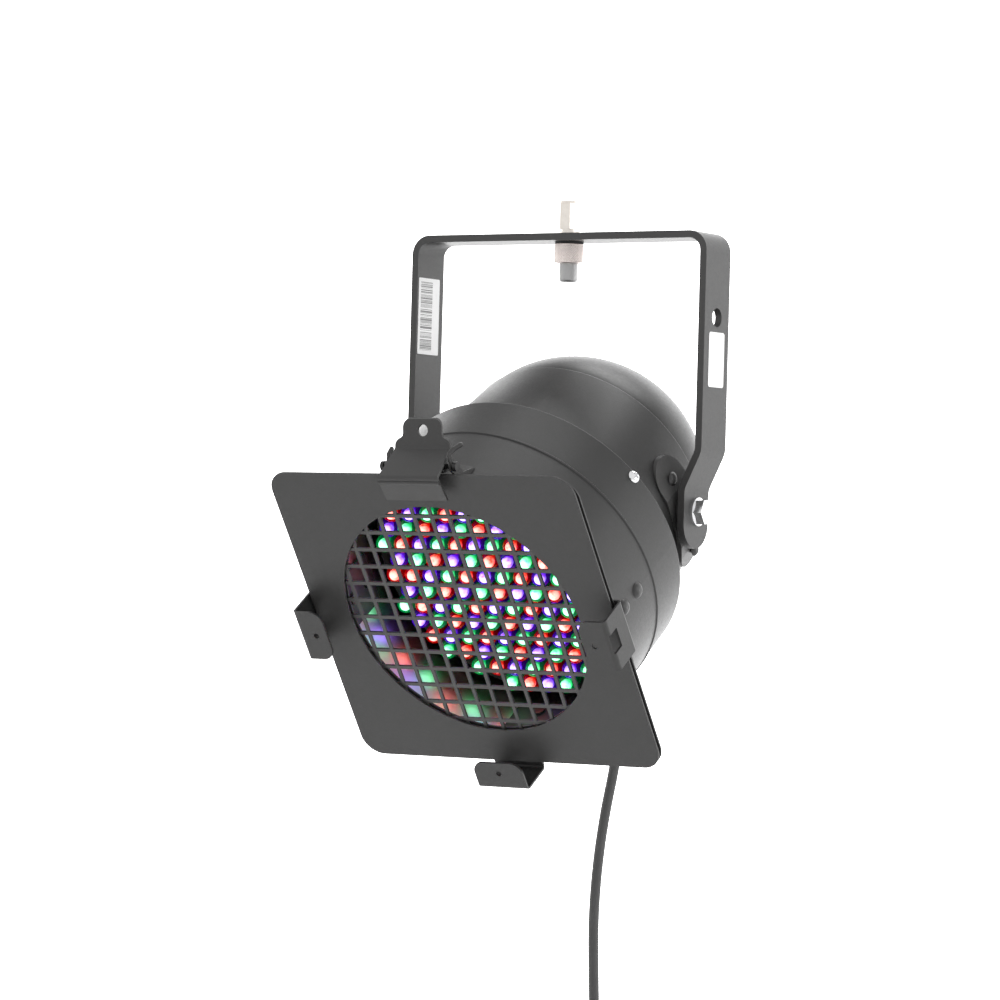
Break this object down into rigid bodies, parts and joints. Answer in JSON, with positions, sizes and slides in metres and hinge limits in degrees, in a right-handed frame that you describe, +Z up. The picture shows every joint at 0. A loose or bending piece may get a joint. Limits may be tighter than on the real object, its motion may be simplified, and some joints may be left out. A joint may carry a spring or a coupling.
{
  "type": "par can light",
  "caption": "Short LED par can hung on a bent yoke: square filter frame with a guard grille, a spring clip, three frame holders and a captive mains lead.",
  "frame": {"origin": "centre of the upper face of the yoke, on the axis of the wire bore it hangs by", "axes": "+Z up along the wire bore, +X along the tilt axis, the beam points towards -Y and down"},
  "size_m": [0.1972, 0.2772, 0.6557],
  "materials": {
    "yoke_paint": "satin",
    "can_paint": "satin",
    "frame_paint": "satin",
    "grille_metal": "satin",
    "label_white": "matte",
    "nickel_brass": "polished",
    "knurled_steel": "satin",
    "grey_tip": "matte",
    "dark_washer": "matte",
    "spring_steel": "satin",
    "bright_fasteners": "polished",
    "black_fasteners": "gloss",
    "lamp_red": "gloss",
    "lamp_blue": "gloss",
    "lamp_green": "gloss",
    "board_black": "matte",
    "board_green": "gloss",
    "plain_steel": "satin",
    "dark_plastic": "gloss",
    "panel_paint": "satin",
    "socket_metal": "satin",
    "gold_pins": "polished",
    "button_plastic": "matte",
    "cord_rubber": "matte",
    "gland_plastic": "matte"
  },
  "bodies": {
    "yoke_body": {"yoke": "yoke_paint", "serial_label": "label_white", "arm_label": "label_white", "suspension_barrel": "nickel_brass", "lock_washer": "dark_washer", "gripper_sleeve": "knurled_steel", "gripper_spring": "spring_steel"},
    "head_body": {"board_pillars": "bright_fasteners", "cable_gland": "gland_plastic", "capacitors": "dark_plastic", "chassis_plate": "plain_steel", "clip_base": "frame_paint", "clip_pin": "black_fasteners", "control_board": "board_green", "control_panel": "panel_paint", "display_window": "dark_plastic", "frame_back_sheet": "frame_paint", "frame_front_sheet": "frame_paint", "frame_spacers": "grille_metal", "friction_washers": "dark_washer", "front_can": "can_paint", "gland_nut": "gland_plastic", "guard_grille": "grille_metal", "hank_tie": "cord_rubber", "holder_bottom": "frame_paint", "holder_left": "frame_paint", "holder_right": "frame_paint", "holder_rivets": "black_fasteners", "led_board": "board_black", "leds_blue": "lamp_blue", "leds_green": "lamp_green", "leds_red": "lamp_red", "mains_cord": "cord_rubber", "mains_cord_hank": "cord_rubber", "mid_can": "can_paint", "panel_screws": "black_fasteners", "pivot_nuts": "bright_fasteners", "plug_body": "cord_rubber", "plug_pins": "gold_pins", "rear_dome": "can_paint", "shell_screws": "bright_fasteners", "signal_in_pins": "gold_pins", "signal_in_shell": "socket_metal", "signal_out_insert": "dark_plastic", "signal_out_shell": "socket_metal", "small_rivets": "black_fasteners", "strain_relief": "cord_rubber", "supply_board": "board_green", "tilt_bolt_left": "bright_fasteners", "tilt_bolt_right": "bright_fasteners", "tilt_bracket_left": "yoke_paint", "tilt_bracket_right": "yoke_paint", "transformer": "dark_plastic", "clip_spring": "spring_steel"},
    "tip_body": {"release_tip": "grey_tip"},
    "clip_body": {"spring_clip": "frame_paint"},
    "button_body_1": {"panel_button_1": "button_plastic"},
    "button_body_2": {"panel_button_2": "button_plastic"},
    "button_body_3": {"panel_button_3": "button_plastic"},
    "button_body_4": {"panel_button_4": "button_plastic"}
  },
  "joints": [
    {"name": "head_tilt", "type": "hinge", "parent": "yoke_body", "child": "head_body", "pos_m": [0, 0, -0.153], "axis": [1, 0, 0], "range_deg": [-60, 45]},
    {"name": "clip_hinge", "type": "hinge", "parent": "head_body", "child": "clip_body", "pos_m": [0, -0.14946, -0.13411], "axis": [1, 0, 0], "range_deg": [-35, 0], "stiffness_Nm_per_rad": 0.05, "springref_deg": 20.05},
    {"name": "tip_slide", "type": "slide", "parent": "yoke_body", "child": "tip_body", "axis": [0, 0, 1], "range_m": [0, 0.002], "stiffness_N_per_m": 300, "springref_m": -0.003, "deforming": ["gripper_spring"]},
    {"name": "button_1_press", "type": "slide", "parent": "head_body", "child": "button_body_1", "axis": [0, -0.8192, -0.5736], "range_m": [0, 0.0008], "stiffness_N_per_m": 800, "springref_m": -0.001},
    {"name": "button_2_press", "type": "slide", "parent": "head_body", "child": "button_body_2", "axis": [0, -0.8192, -0.5736], "range_m": [0, 0.0008], "stiffness_N_per_m": 800, "springref_m": -0.001},
    {"name": "button_3_press", "type": "slide", "parent": "head_body", "child": "button_body_3", "axis": [0, -0.8192, -0.5736], "range_m": [0, 0.0008], "stiffness_N_per_m": 800, "springref_m": -0.001},
    {"name": "button_4_press", "type": "slide", "parent": "head_body", "child": "button_body_4", "axis": [0, -0.8192, -0.5736], "range_m": [0, 0.0008], "stiffness_N_per_m": 800, "springref_m": -0.001}
  ]
}
